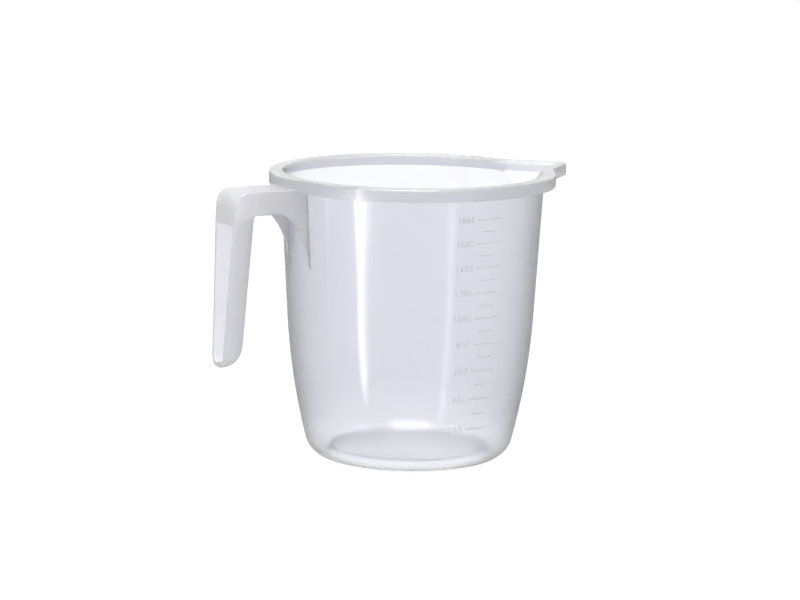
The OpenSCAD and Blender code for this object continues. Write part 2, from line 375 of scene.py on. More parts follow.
def soft_max(first: Points, second: Points, width: float) -> Points:
    """The larger of two values, rounded over where they are close.

    Args:
        first: One set of values.
        second: The other set.
        width: Difference at which the rounding starts.

    Returns:
        The rounded maximum.
    """
    near = np.clip(1.0 - np.abs(first - second) / width, 0.0, None)
    return np.maximum(first, second) + near**2 * width / 4


@dataclass(frozen=True)
class BowlOutline:
    """Outline of the bowl's outer surface: a lean wall, a long belly and a corner."""

    height: float = 158.5
    mouth_radius: float = 72.6
    wall: float = 1.5
    wall_lean: float = math.radians(3.4)
    belly_start: float = 78.5
    belly_radius: float = 360.0
    corner_radius: float = 13.5

    @property
    def belly_x(self) -> float:
        """Radius where the straight wall ends."""
        return self.mouth_radius - (self.height - self.belly_start) * math.tan(self.wall_lean)

    @property
    def belly_centre(self) -> tuple[float, float]:
        """Centre of the long curve, as radius and height.

        Returns:
            The centre's radius and height.
        """
        return (
            self.belly_x - self.belly_radius * math.cos(self.wall_lean),
            self.belly_start + self.belly_radius * math.sin(self.wall_lean),
        )

    @property
    def corner_angle(self) -> float:
        """Angle at which the corner runs into the long curve."""
        rise = self.belly_centre[1] - self.corner_radius
        return math.asin(rise / (self.belly_radius - self.corner_radius))

    @property
    def corner_centre(self) -> tuple[float, float]:
        """Centre of the corner's curve, as radius and height."""
        reach = (self.belly_radius - self.corner_radius) * math.cos(self.corner_angle)
        return self.belly_centre[0] + reach, self.corner_radius

    def radius(self, z: float, out: float = 0.0) -> float:
        """Radius at a height of the surface that lies a distance outwards.

        Args:
            z: Height.
            out: Distance outwards from the outer surface.

        Returns:
            The radius.
        """
        belly_x, belly_z = self.belly_centre
        if z > belly_z - (self.belly_radius + out) * math.sin(self.wall_lean):
            rise = (z - self.belly_start) * math.tan(self.wall_lean)
            return self.belly_x + out / math.cos(self.wall_lean) + rise
        if z > belly_z - (self.belly_radius + out) * math.sin(self.corner_angle):
            return belly_x + math.sqrt((self.belly_radius + out) ** 2 - (z - belly_z) ** 2)
        corner_x, corner_z = self.corner_centre
        return corner_x + math.sqrt((self.corner_radius + out) ** 2 - (z - corner_z) ** 2)

    def low_points(self, out: float, first_angle: float, steps: tuple[int, int]) -> list:
        """Points of the corner and the long curve, from the base upwards.

        Args:
            out: Distance outwards from the outer surface.
            first_angle: Angle on the corner where the run starts.
            steps: Number of steps on the corner and on the long curve.

        Returns:
            Pairs of radius and height.
        """
        points = []
        for centre, radius, start, end, count in (
            (self.corner_centre, self.corner_radius + out, first_angle, -self.corner_angle,
             steps[0]),
            (self.belly_centre, self.belly_radius + out, -self.corner_angle, -self.wall_lean,
             steps[1]),
        ):
            for angle in np.linspace(start, end, count, endpoint=False):
                points.append((centre[0] + radius * math.cos(angle),
                               centre[1] + radius * math.sin(angle)))
        return points


@dataclass(frozen=True)
class SpoutOutline:
    """Plan of the spout and of the sloping vee in it."""

    reach: float = 97.5
    half_angle: float = math.radians(43)
    nose_radius: float = 6.0
    lip_width: float = 4.0
    channel_radius: float = 2.0
    channel_depth: float = 17.0

    def rim(self, angle: Points, inset: float) -> Points:
        """Radius of the rim's outline at the spout, drawn in by a distance."""
        middle = self.reach - self.nose_radius
        return polar_line(angle, middle, self.nose_radius - inset, self.half_angle)

    def slope(self, bowl: BowlOutline) -> float:
        """Distance that the vee moves outwards for each unit of height.

        Args:
            bowl: Outline of the bowl.

        Returns:
            The slope, as a ratio.
        """
        apex = self.reach + self.nose_radius * (1 / math.sin(self.half_angle) - 1)
        apex -= self.lip_width / math.sin(self.half_angle)
        foot = bowl.radius(bowl.height - self.channel_depth, -bowl.wall)
        return (apex - foot) / self.channel_depth

    def channel(self, angle: Points, z: float, bowl: BowlOutline, grown: bool) -> Points:
        """Radius of the vee's surface at a height.

        Args:
            angle: Directions of the rays from the axis.
            z: Height.
            bowl: Outline of the bowl.
            grown: True for the underside of the vee, a wall's thickness further out.

        Returns:
            The radius for each ray.
        """
        slope = self.slope(bowl)
        apex = bowl.radius(bowl.height - self.channel_depth, -bowl.wall)
        apex += slope * (z - bowl.height + self.channel_depth)
        middle = apex - self.channel_radius / math.sin(self.half_angle)
        tilt = math.atan(slope)
        across = math.atan(math.tan(self.half_angle) / math.cos(tilt))
        level = math.hypot(math.sin(across) * math.cos(tilt), math.cos(across))
        radius = self.channel_radius + (bowl.wall / level if grown else 0.0)
        return polar_line(angle, middle, radius, self.half_angle)


# --------------------------------------------------------------------------- shells


def new_object(name: str, data: bpy.types.ID) -> bpy.types.Object:
    """Makes an object and adds it to the scene.

    Args:
        name: Name of the object.
        data: Its mesh, light or camera.

    Returns:
        The new object.
    """
    made = bpy.data.objects.new(name, data)
    bpy.context.scene.collection.objects.link(made)
    return made


def tube_faces(rows: int, count: int, turned: bool = False) -> list[Face]:
    """Polygons of a closed tube, whose points are given ring by ring.

    Args:
        rows: Number of rings.
        count: Number of points on each ring.
        turned: True where the rings run the other way round.

    Returns:
        The sides, ring by ring, and then the two ends.
    """
    faces = []
    for near in range(0, (rows - 1) * count, count):
        for i in range(count):
            a, b = near + i, near + (i + 1) % count
            faces.append((a, a + count, b + count, b) if turned
                         else (a, b, b + count, a + count))
    ends = [tuple(range(count)), tuple(range(rows * count - 1, (rows - 1) * count - 1, -1))]
    return faces + (ends if turned else [end[::-1] for end in ends])


@dataclass
class Shell:
    """Polygons of a closed surface, each with the feature that it belongs to."""

    points: Points
    faces: list[Face]
    features: list[Feature]

    def make_object(self, name: str, guides: Sequence[bpy.types.Material]) -> bpy.types.Object:
        """Makes a working object whose material numbers are the features.

        Args:
            name: Name of the object.
            guides: One material for each feature.

        Returns:
            The new object.
        """
        mesh = bpy.data.meshes.new(name)
        mesh.from_pydata(self.points.tolist(), [], self.faces)
        for guide in guides:
            mesh.materials.append(guide)
        mesh.polygons.foreach_set("material_index", [int(f) for f in self.features])
        mesh.validate()
        return new_object(name, mesh)


def rounded(start: Points, corner: Points, end: Points, steps: int = 4) -> list[Points]:
    """Points of a curve that cuts a corner, without its two ends.

    Args:
        start: Where the curve leaves the first side.
        corner: The sharp corner.
        end: Where the curve meets the second side.
        steps: Number of steps along the curve.

    Returns:
        The inner points of the curve.
    """
    return [
        (1 - t) ** 2 * start + 2 * t * (1 - t) * corner + t**2 * end
        for t in np.linspace(0, 1, steps + 1)[1:-1]
    ]


@dataclass
class JugBody:
    """The bowl with its base, rim and spout, as one closed surface round the axis."""

    WALL_ROWS: ClassVar[int] = 12

    bowl: BowlOutline = field(default_factory=BowlOutline)
    spout: SpoutOutline = field(default_factory=SpoutOutline)
    base_hollow: float = 4.5
    floor_thickness: float = 1.8
    foot_width: float = 1.5
    rim_radius: float = 78.7
    band_height: float = 6.8
    flange_thickness: float = 1.5
    band_thickness: float = 1.4
    spout_low: float = 139.5
    spout_turn: float = math.radians(25)
    widest_step: float = 1.25
    nose_step: float = 0.25
    nose_width: float = 3.0
    step_growth: float = 0.03
    inner_crease: float = 1.4
    outer_crease: float = 2.2
    rim_crease: float = 1.6
    floor_round: float = 0.8
    groove_round: float = 1.3
    groove_turn: float = 0.1
    mouth_round: float = 0.5
    rim_round: float = 1.3
    band_round: float = 0.4
    hollow_round: float = 0.5
    gate_radius: float = 2.6
    gate_edge: float = 3.2
    gate_depth: float = 0.25
    axis_gap: float = 0.05

    def __post_init__(self) -> None:
        """Works out the directions round the axis, finer towards the spout's nose."""
        half, angle = [], 0.0
        while angle < 180:
            half.append(angle)
            growth = self.step_growth * max(0.0, angle - self.nose_width)
            angle += min(self.widest_step, self.nose_step + growth)
        half = np.array(half) * 180 / angle
        degrees = np.concatenate([-half[:0:-1], half, [180.0]])
        self.angles: Points = np.radians(degrees)
        self.spout_turn = float(self.angles[np.argmin(np.abs(self.angles - self.spout_turn))])
        self.stations: list[Points] = []
        self.owners: list[Feature] = []
        self.joints: dict[str, int] = {}
        self._lay_stations()

    def _inner(self, z: float) -> Points:
        """Radius of the inner surface at a height, the vee included.

        Args:
            z: Height.

        Returns:
            The radius for every direction.
        """
        wall = np.full_like(self.angles, self.bowl.radius(z, -self.bowl.wall))
        vee = self.spout.channel(self.angles, z, self.bowl, grown=False)
        return soft_max(wall, vee, self.inner_crease)

    def _outer(self, z: float) -> Points:
        """Radius of the outer surface at a height, the vee included.

        Args:
            z: Height.

        Returns:
            The radius for every direction.
        """
        wall = np.full_like(self.angles, self.bowl.radius(z))
        vee = self.spout.channel(self.angles, z, self.bowl, grown=True)
        return soft_max(wall, vee, self.outer_crease)

    def _rim(self, inset: float) -> Points:
        """Radius of the rim's outline, drawn in by a distance."""
        ring = np.full_like(self.angles, self.rim_radius - inset)
        return soft_max(ring, self.spout.rim(self.angles, inset), self.rim_crease)

    def _at(self, radius: Points | float, z: float) -> Points:
        """Pairs of radius and height for every direction.

        Args:
            radius: One radius, or one for every direction.
            z: Height.

        Returns:
            The station, one row for every direction.
        """
        return np.stack([
            np.broadcast_to(radius, self.angles.shape), np.full_like(self.angles, z)
        ], axis=1)

    def _add(self, owner: Feature, *stations: Points, joint: str | None = None) -> None:
        """Adds stations whose strip towards the next one belongs to a feature.

        Args:
            owner: The feature.
            *stations: Stations in their order.
            joint: Name of the joint that the last of them stands at.
        """
        for station in stations:
            self.stations.append(np.asarray(station, float))
            self.owners.append(owner)
        if joint:
            self.joints[joint] = len(self.stations) - 1

    def _lay_stations(self) -> None:
        """Lays the outline's points, from the middle of the floor over the rim to the base."""
        top = self.bowl.height
        joint_z = top - self.flange_thickness - self.mouth_round
        levels = np.concatenate([
            np.linspace(self.bowl.belly_start, self.spout_low, self.WALL_ROWS, endpoint=False),
            np.linspace(self.spout_low, joint_z, 26),
        ])
        foot = self.bowl.corner_centre[0]
        self._lay_inside(foot, levels)
        self._lay_rim()
        self._lay_outside(foot, levels)

    def _lay_inside(self, foot: float, levels: Points) -> None:
        """Lays the floor, the groove round it and the inner wall up to the flat top.

        Args:
            foot: Outer radius of the floor's edge.
            levels: Heights of the wall's rows, up to the flat top.
        """
        bowl, at = self.bowl, self._at
        floor_top = self.base_hollow + self.floor_thickness
        self._add(Feature.FLOOR_PANEL, at(self.axis_gap, floor_top), at(14, floor_top),
                  at(28, floor_top), at(38, floor_top))
        self._add(Feature.FOOT_RING, at(foot - self.foot_width, floor_top), joint="floor_top")
        edge = [at(foot - self.floor_round, floor_top), at(foot, floor_top),
                at(foot, floor_top - self.floor_round)]
        self._add(Feature.FOOT_RING, edge[0], *rounded(*edge), edge[2])
        low = bowl.low_points(-bowl.wall, -math.pi / 2 + self.groove_turn, (14, 20))
        groove = [at(foot, bowl.wall + self.groove_round), at(foot, bowl.wall), at(*low[0])]
        self._add(Feature.FOOT_RING, groove[0], *rounded(*groove))
        self._add(Feature.BOWL_WALL, at(*low[0]), joint="foot_inside")
        self._add(Feature.BOWL_WALL, *[at(*p) for p in low[1:]])
        self.joints["spout_inside"] = len(self.stations) + self.WALL_ROWS
        self._add(Feature.BOWL_WALL, *[at(self._inner(z), z) for z in levels[:-1]])
        self._add(Feature.RIM_FLANGE, at(self._inner(levels[-1]), levels[-1]),
                  joint="flange_inside")

    def _lay_rim(self) -> None:
        """Lays the mouth's edge, the flat top, the band and the flat top's underside."""
        at, top, lip, small = self._at, self.bowl.height, self.mouth_round, self.band_round
        mouth = self._inner(top)
        edge = [at(self._inner(top - lip), top - lip), at(mouth, top), at(mouth + lip, top)]
        self._add(Feature.RIM_FLANGE, edge[0], *rounded(*edge), edge[2])
        rim, band_in = self._rim(0.0), self._rim(self.band_thickness)
        edge = [at(rim - self.rim_round, top), at(rim, top), at(rim, top - self.rim_round)]
        middle = mouth + lip + (rim - self.rim_round - mouth - lip) / 2
        self._add(Feature.RIM_FLANGE, at(middle, top))
        self._add(Feature.RIM_FLANGE, edge[0], *rounded(*edge, steps=6), edge[2])
        under, low_z = top - self.flange_thickness, top - self.band_height
        band_z = under - small
        self._add(Feature.RIM_BAND, at(rim, band_z), joint="band_outside")
        self._add(Feature.RIM_BAND, at(rim, (band_z + low_z) / 2))
        edge = [at(rim, low_z + small), at(rim, low_z), at(rim - small, low_z)]
        self._add(Feature.RIM_BAND, edge[0], *rounded(*edge), edge[2])
        edge = [at(band_in + small, low_z), at(band_in, low_z), at(band_in, low_z + small)]
        self._add(Feature.RIM_BAND, edge[0], *rounded(*edge), edge[2])
        self._add(Feature.RIM_FLANGE, at(band_in, band_z), joint="band_inside")
        edge = [at(band_in, band_z), at(band_in, under), at(band_in - small, under)]
        self._add(Feature.RIM_FLANGE, *rounded(*edge), edge[2])

    def _lay_outside(self, foot: float, levels: Points) -> None:
        """Lays the outer wall down to the base, the foot and the hollow under the floor.

        Args:
            foot: Outer radius of the floor's edge.
            levels: Heights of the wall's rows, up to the flat top.
        """
        bowl, at, small, hollow = self.bowl, self._at, self.band_round, self.base_hollow
        under, joint_z = bowl.height - self.flange_thickness, levels[-1]
        outer = self._outer(under)
        edge = [at(outer + self.mouth_round, under), at(outer, under),
                at(self._outer(joint_z), joint_z)]
        self._add(Feature.RIM_FLANGE, edge[0], *rounded(*edge))
        self._add(Feature.BOWL_WALL, edge[2], joint="flange_outside")
        self._add(Feature.BOWL_WALL, *[at(self._outer(z), z) for z in levels[-2::-1]])
        self.joints["spout_outside"] = len(self.stations) - 1 - self.WALL_ROWS
        low = bowl.low_points(0.0, -math.pi / 2, (16, 20))
        self._add(Feature.BOWL_WALL, *[at(*p) for p in low[:0:-1]])
        self._add(Feature.FOOT_RING, at(*low[0]), joint="foot_outside")
        foot_in = foot - self.foot_width
        edge = [at(foot_in + small, 0.0), at(foot_in, 0.0), at(foot_in, small)]
        self._add(Feature.FOOT_RING, edge[0], *rounded(*edge), edge[2])
        edge = [at(foot_in, hollow - self.hollow_round), at(foot_in, hollow),
                at(foot_in - self.hollow_round, hollow)]
        self._add(Feature.FOOT_RING, edge[0], *rounded(*edge))
        self._add(Feature.FLOOR_PANEL, edge[2], joint="floor_under")
        gate = hollow - self.gate_depth
        self._add(Feature.FLOOR_PANEL, at(28, hollow), at(14, hollow),
                  at(self.gate_edge, hollow), at(self.gate_radius, gate),
                  at(self.axis_gap, gate))

    def point(self, station: int, index: int) -> Points:
        """One point of the surface, in space.

        Args:
            station: Number of the station.
            index: Number of the direction.

        Returns:
            The point.
        """
        radius, z = self.stations[station][index % len(self.angles)]
        angle = self.angles[index % len(self.angles)]
        return np.array([radius * math.cos(angle), radius * math.sin(angle), z])

    def in_spout(self, index: int) -> bool:
        """Whether the strip from this direction to the next lies at the spout.

        Args:
            index: Number of the direction.

        Returns:
            True at the spout.
        """
        if index + 1 >= len(self.angles):
            return False
        return max(abs(self.angles[index]), abs(self.angles[index + 1])) < self.spout_turn + 1e-6

    def shell(self) -> Shell:
        """The whole surface.

        Returns:
            The closed shell, with a feature for each polygon.
        """
        count = len(self.angles)
        turns = np.stack([np.cos(self.angles), np.sin(self.angles)], axis=1)
        rings = [np.column_stack([turns * s[:, :1], s[:, 1]]) for s in self.stations]
        inside = (self.joints["spout_inside"], self.joints["flange_inside"])
        outside = (self.joints["flange_outside"], self.joints["spout_outside"])
        features = []
        for k in range(len(rings) - 1):
            at_spout = inside[0] <= k < inside[1] or outside[0] <= k < outside[1]
            features += [
                Feature.POURING_SPOUT if at_spout and self.in_spout(i) else self.owners[k]
                for i in range(count)
            ]
        features += [Feature.FLOOR_PANEL, Feature.FLOOR_PANEL]
        return Shell(np.concatenate(rings), tube_faces(len(rings), count, turned=True), features)

    def joint_strips(self) -> list[tuple[Feature, Feature, list[tuple[Points, Points]]]]:
        """The faces inside the plastic where two features of the body meet.

        Returns:
            For each joint its two features, and the pairs of points that a strip joins.
        """
        count = len(self.angles)
        whole = list(range(count)) + [0]
        first = next(i for i in range(count) if self.in_spout(i))
        at_spout = [i for i in range(first, count) if self.in_spout(i)]
        at_spout.append(at_spout[-1] + 1)
        elsewhere = list(range(at_spout[-1], count)) + list(range(first + 1))
        joints = self.joints

        def ring(one: str, other: str, indices: Iterable[int]) -> list:
            """Pairs of points of two stations."""
            return [(self.point(joints[one], i), self.point(joints[other], i)) for i in indices]

        def side(index: int) -> list:
            """Pairs of points up one side of the spout.

            Args:
                index: Number of the direction where the side lies.

            Returns:
                An inner and an outer point for each row.
            """
            rows = joints["flange_inside"] - joints["spout_inside"]
            return [
                (self.point(joints["spout_inside"] + row, index),
                 self.point(joints["spout_outside"] - row, index))
                for row in range(rows + 1)
            ]

        return [
            (Feature.FLOOR_PANEL, Feature.FOOT_RING, ring("floor_top", "floor_under", whole)),
            (Feature.FOOT_RING, Feature.BOWL_WALL, ring("foot_inside", "foot_outside", whole)),
            (Feature.RIM_FLANGE, Feature.RIM_BAND, ring("band_outside", "band_inside", whole)),
            (Feature.RIM_FLANGE, Feature.BOWL_WALL,
             ring("flange_inside", "flange_outside", elsewhere)),
            (Feature.RIM_FLANGE, Feature.POURING_SPOUT,
             ring("flange_inside", "flange_outside", at_spout)),
            (Feature.POURING_SPOUT, Feature.BOWL_WALL,
             ring("spout_inside", "spout_outside", at_spout)),
            (Feature.POURING_SPOUT, Feature.BOWL_WALL, side(at_spout[0])),
            (Feature.POURING_SPOUT, Feature.BOWL_WALL, side(at_spout[-1])),
        ]


@dataclass
class Handle:
    """The hooked handle: an arm that is open below and a grip that is open at the back.

    The rings that meet at the elbow are close together, and so are those at the free end,
    where the trough's floor and the end itself are rounded.
    """

    WEB_RUNS: ClassVar[tuple[float, ...]] = (
        0.02, 0.15, 0.4, 0.8, 1.4, 2.4, 4.0, 6.5, 10.0, 14.0, 19.0, 25.0)
    END_RISES: ClassVar[tuple[float, ...]] = (
        14, 12, 10, 9, 8, 7, 6, 5.2, 4.5, 3.8, 3.3, 2.9, 2.6, 2.4)
    TAIL_RISES: ClassVar[tuple[float, ...]] = (1.9, 1.5, 1.1, 0.8, 0.5, 0.25, 0.1, 0.02)

    bowl: BowlOutline = field(default_factory=BowlOutline)
    width: float = 25.0
    reach: float = 113.2
    top: float = 153.5
    drop: float = 95.5
    arm_height: float = 13.0
    skin: float = 2.3
    grip_depth: float = 11.4
    end_width: float = 15.0
    end_depth: float = 10.6
    end_rise: float = 12.5
    end_edge: float = 0.5
    trough_start: float = 5.0
    web_turn: float = 15.0
    lean: float = math.radians(2.85)
    elbow_radius: float = 8.0
    crook_radius: float = 1.5
    root_reach: float = 18.5
    root_drop: float = 40.0
    root_sink: float = 0.5
    end_radius: float = 6.0
    edge_radius: float = 1.0
    mouth_radius: float = 0.6
    hollow_radius: float = 1.1
    ceiling_round: float = 2.0
    level_z: float = 112.0
    ring_pitch: float = 6.0
    least_gap: float = 0.02
    band_cover: float = 0.3
    band_sink: float = 0.7
    trim_below: float = 6.0
    trim_above: float = 16.5
    trim_turns: int = 240
    arc_steps: int = 5
    elbow_steps: int = 22

    def back(self, z: float) -> float:
        """Distance from the axis to the grip's back at a height."""
        return self.reach + (self.top - z) * math.tan(self.lean)

    def front(self, z: float) -> float:
        """Distance from the axis to the grip's front at a height.

        Args:
            z: Height.

        Returns:
            The distance, which meets the back at the free end.
        """
        end, under = self.top - self.drop, self.top - self.arm_height
        depth = self.end_depth + (self.grip_depth - self.end_depth) * (z - end) / (under - end)
        low = max(0.0, 1 - (z - end) / self.end_rise)
        depth -= (self.end_depth - self.end_edge) * (1 - math.sqrt(1 - low**2))
        return self.back(z) - depth

    def half_width(self, z: float, inset: float) -> float:
        """Half of the grip's width at a height, down to its end with rounded corners.

        Args:
            z: Height.
            inset: Distance that the outline is drawn in by, for the trough.

        Returns:
            The half width, or zero below the end.
        """
        under, end = self.top - self.arm_height, self.top - self.drop + inset
        corner = self.end_radius - inset
        taper = math.atan((self.width - self.end_width) / 2 / (under - self.top + self.drop))
        middle_x = self.width / 2 - inset - (under - end - corner) * math.tan(taper)
        middle_x -= corner / math.cos(taper)
        rise = z - end
        if rise < corner * (1 - math.sin(taper)):
            return max(0.0, middle_x + math.sqrt(max(0.0, corner**2 - (corner - rise) ** 2)))
        return self.width / 2 - inset - max(0.0, under - z) * math.tan(taper)

    @property
    def arm_end(self) -> float:
        """Distance from the axis at which the arm runs into the elbow."""
        return self.front(self.top - self.arm_height - self.crook_radius) - self.crook_radius

    def root(self, angle: float) -> tuple[float, float]:
        """A point of the long blend under the arm, between the side ribs and the bowl.

        Args:
            angle: Place on the blend, from 0 at the arm to a quarter turn on the bowl.

        Returns:
            The distance from the axis and the height.
        """
        z = self.top - self.arm_height - self.root_drop * (1 - math.cos(angle))
        wall = math.sqrt(self.bowl.radius(z) ** 2 - ((self.width - self.skin) / 2) ** 2)
        return wall - self.root_sink + self.root_reach * (1 - math.sin(angle)), z

    def section(
        self, depth: float, half: float, hollow: float, front: float, back: float
    ) -> list[tuple[float, float]]:
        """One cross-section of the handle, as a closed loop.

        Args:
            depth: Distance from the outer side to the inner side.
            half: Half of the section's width.
            hollow: Half of the width of the hollows.
            front: Depth of the hollow in the inner side.
            back: Depth of the hollow in the outer side.

        Returns:
            Points as distance across and distance from the outer side.
        """
        edge = min(self.edge_radius, depth / 2.2)

        def corner(across: float, down: float, radius: float, start: float) -> list:
            """Points of a quarter circle round a corner."""
            angles = np.radians(np.linspace(start, start + 90, self.arc_steps))
            return [(across + radius * math.cos(a), down + radius * math.sin(a)) for a in angles]

        def notch(deep: float) -> list:
            """Half of a hollow, from its middle out to its mouth, measured from its side.

            Args:
                deep: Depth of the hollow.

            Returns:
                Points as distance across and depth.
            """
            inner = min(self.hollow_radius, deep / 2.01, hollow / 2)
            mouth = min(self.mouth_radius, deep / 2.01, max(0.0, half - hollow - edge) + 0.01)
            bottom = corner(hollow - inner, deep - inner, inner, 0)[::-1]
            rim = corner(hollow + mouth, mouth, mouth, 180)
            return [(0.0, deep), (hollow * 0.45, deep), *bottom, *rim]

        upper = notch(back)
        lower = [(a, depth - d) for a, d in reversed(notch(front))]
        side = [
            *corner(half - edge, edge, edge, -90), (half, depth / 2),
            *corner(half - edge, depth - edge, edge, 0),
        ]
        right = [*upper, *side, *lower]
        return right + [(-a, d) for a, d in reversed(right)]

    def _ring(
        self, outer: tuple[float, float], inner: tuple[float, float],
        section: list[tuple[float, float]],
    ) -> Points:
        """Places a section between a point of the outer side and one of the inner side.

        Args:
            outer: Point of the outer side, as distance from the axis and height.
            inner: Point of the inner side.
            section: The section, as distance across and distance from the outer side.

        Returns:
            The ring's points in space.
        """
        start, end = np.array(outer), np.array(inner)
        along = (end - start) / np.linalg.norm(end - start)
        return np.array([
            (-(start[0] + along[0] * d), a, start[1] + along[1] * d) for a, d in section
        ])

    def _arm_rings(self) -> list[Points]:
        """Rings of the arm, from inside the bowl to the elbow.

        Returns:
            The rings in their order.
        """
        half, hollow = self.width / 2, self.width / 2 - self.skin
        under = self.top - self.arm_height
        round_end = self.ceiling_round
        ceiling_end = self.arm_end - round_end
        blend = [self.root(math.radians(a)) for a in range(90, -1, -5)]
        stations = [(blend[0][0] - 9, blend[0][1], 0.0), (blend[0][0] - 0.4, blend[0][1], 0.0)]
        stations += [(reach, z, 0.0) for reach, z in blend]
        stations += [(a, under, 0.0) for a in np.linspace(blend[-1][0], ceiling_end, 5)[1:]]
        stations += [
            (ceiling_end + round_end * math.sin(t), under, round_end * (1 - math.cos(t)))
            for t in np.radians([20, 40, 60, 80])
        ]
        stations.append((self.arm_end, under, round_end))
        rings = []
        for reach, low, fall in stations:
            depth = self.top - low
            section = self.section(depth, half, hollow, depth - self.skin - fall, 0.0)
            rings.append(self._ring((reach, self.top), (reach, low), section))
        return rings

    def _elbow_rings(self) -> list[Points]:
        """Rings round the elbow, down to where the grip's trough starts.

        Returns:
            The rings in their order.
        """
        half, hollow = self.width / 2, self.width / 2 - self.skin
        under = self.top - self.arm_height
        crook = (self.arm_end, under - self.crook_radius)
        bend_z = self.top - self.elbow_radius
        bend = self.back(bend_z) - self.elbow_radius
        start = self.arm_end + self.least_gap
        trough_back = under - self.trough_start
        arc = self.elbow_radius * math.pi / 2
        level, fall = bend - start, bend_z - trough_back
        rings = []
        for share in np.arange(self.elbow_steps + 1) / self.elbow_steps:
            run = share * (level + arc + fall)
            if run < level:
                outer = (start + run, self.top)
            elif run < level + arc:
                turn = (run - level) / self.elbow_radius
                outer = (bend + self.elbow_radius * math.sin(turn),
                         bend_z + self.elbow_radius * math.cos(turn))
            else:
                z = bend_z - (run - level - arc)
                outer = (self.back(z), z)
            angle = math.radians(90 - self.web_turn * share)
            inner = (crook[0] + self.crook_radius * math.cos(angle),
                     crook[1] + self.crook_radius * math.sin(angle))
            depth = math.dist(outer, inner)
            rings.append(self._ring(outer, inner, self.section(depth, half, hollow, 0.0, 0.0)))
        return rings

    def _grip_rings(self) -> list[Points]:
        """Rings of the grip, from the top of its trough to its free end.

        Returns:
            The rings in their order.
        """
        under, end = self.top - self.arm_height, self.top - self.drop
        crook = (self.arm_end, under - self.crook_radius)
        trough_back = under - self.trough_start
        last_turn = math.radians(90 - self.web_turn)
        start_z = crook[1] + self.crook_radius * math.sin(last_turn)
        level_z, last_run = self.level_z, self.WEB_RUNS[-1]
        heights = [
            (start_z - (start_z - level_z) * run / last_run,
             trough_back - (trough_back - level_z) * run / last_run, run)
            for run in self.WEB_RUNS
        ]
        lower = list(np.arange(level_z - self.ring_pitch, end + self.END_RISES[0] + 1,
                               -self.ring_pitch))
        lower += [end + rise for rise in (*self.END_RISES, self.skin + self.least_gap)]
        heights += [(z, z, last_run) for z in lower]
        heights += [(end + rise, end + rise, 0.0) for rise in (self.skin, *self.TAIL_RISES)]
        rings = []
        for inner_z, outer_z, run in heights:
            if inner_z > crook[1]:
                turn = math.asin(min(1.0, (inner_z - crook[1]) / self.crook_radius))
                inner = crook[0] + self.crook_radius * math.cos(turn)
            else:
                inner = self.front(inner_z)
            outer = self.back(outer_z)
            t = inner_z - end
            middle_z = (inner_z + outer_z) / 2
            half = self.half_width(middle_z, 0.0)
            depth = math.dist((outer, outer_z), (inner, inner_z))
            slant = depth / (outer - inner)
            deep = max(0.0, (outer - inner - self.skin) * slant)
            near = min(run, max(0.0, t - self.skin))
            if run <= 0:
                deep = 0.0
            elif near < self.hollow_radius:
                gap = self.hollow_radius - near
                deep -= self.hollow_radius - math.sqrt(self.hollow_radius**2 - gap**2)
            hollow = self.half_width(middle_z, self.skin)
            hollow = min(hollow, half - 0.05) if deep else min(hollow, half * 0.8)
            section = self.section(depth, half, hollow, 0.0, deep)
            rings.append(self._ring((outer, outer_z), (inner, inner_z), section))
        return rings

    def shell(self) -> Shell:
        """The whole handle, whose arm still runs on into the bowl.

        Returns:
            The closed shell, with a feature for each polygon.
        """
        arm, elbow = self._arm_rings(), self._elbow_rings()
        rings = arm + elbow + self._grip_rings()
        count = len(rings[0])
        features = [
            Feature.HANDLE_ARM if k < len(arm) else Feature.HANDLE_GRIP
            for k in range(len(rings) - 1) for _ in range(count)
        ]
        features += [Feature.HANDLE_ARM, Feature.HANDLE_GRIP]
        return Shell(np.concatenate(rings), tube_faces(len(rings), count), features)

    def trimmer(self, rim_radius: float, band_low: float) -> Shell:
        """A body that takes away what of the arm would stand inside the bowl.

        Args:
            rim_radius: Outer radius of the rim band.
            band_low: Height of the band's lower edge.

        Returns:
            A closed shell of revolution.
        """
        turns, step = self.trim_turns, band_low + self.band_cover
        low = self.top - self.arm_height - self.root_drop - self.trim_below
        high = self.top + self.trim_above
        outline = [(1.0, low)]
        outline += [(self.bowl.radius(z, -self.bowl.wall / 2), z)
                    for z in np.linspace(low, step, 10)]
        outer = rim_radius - self.band_sink
        outline += [(outer, step), (outer, high), (1.0, high)]
        angles = (np.arange(turns) + 0.5) * 2 * math.pi / turns
        points = [(r * math.cos(a), r * math.sin(a), z) for r, z in outline for a in angles]
        faces = tube_faces(len(outline), turns)
        return Shell(np.array(points), faces, [Feature.HANDLE_ARM] * len(faces))


# --------------------------------------------------------------------------- moulding


@dataclass
class SolidPart:
    """Corners, polygons and normals gathered for one piece."""

    faces: list[Face] = field(default_factory=list)
    normals: list[Points] = field(default_factory=list)
    inner: list[bool] = field(default_factory=list)


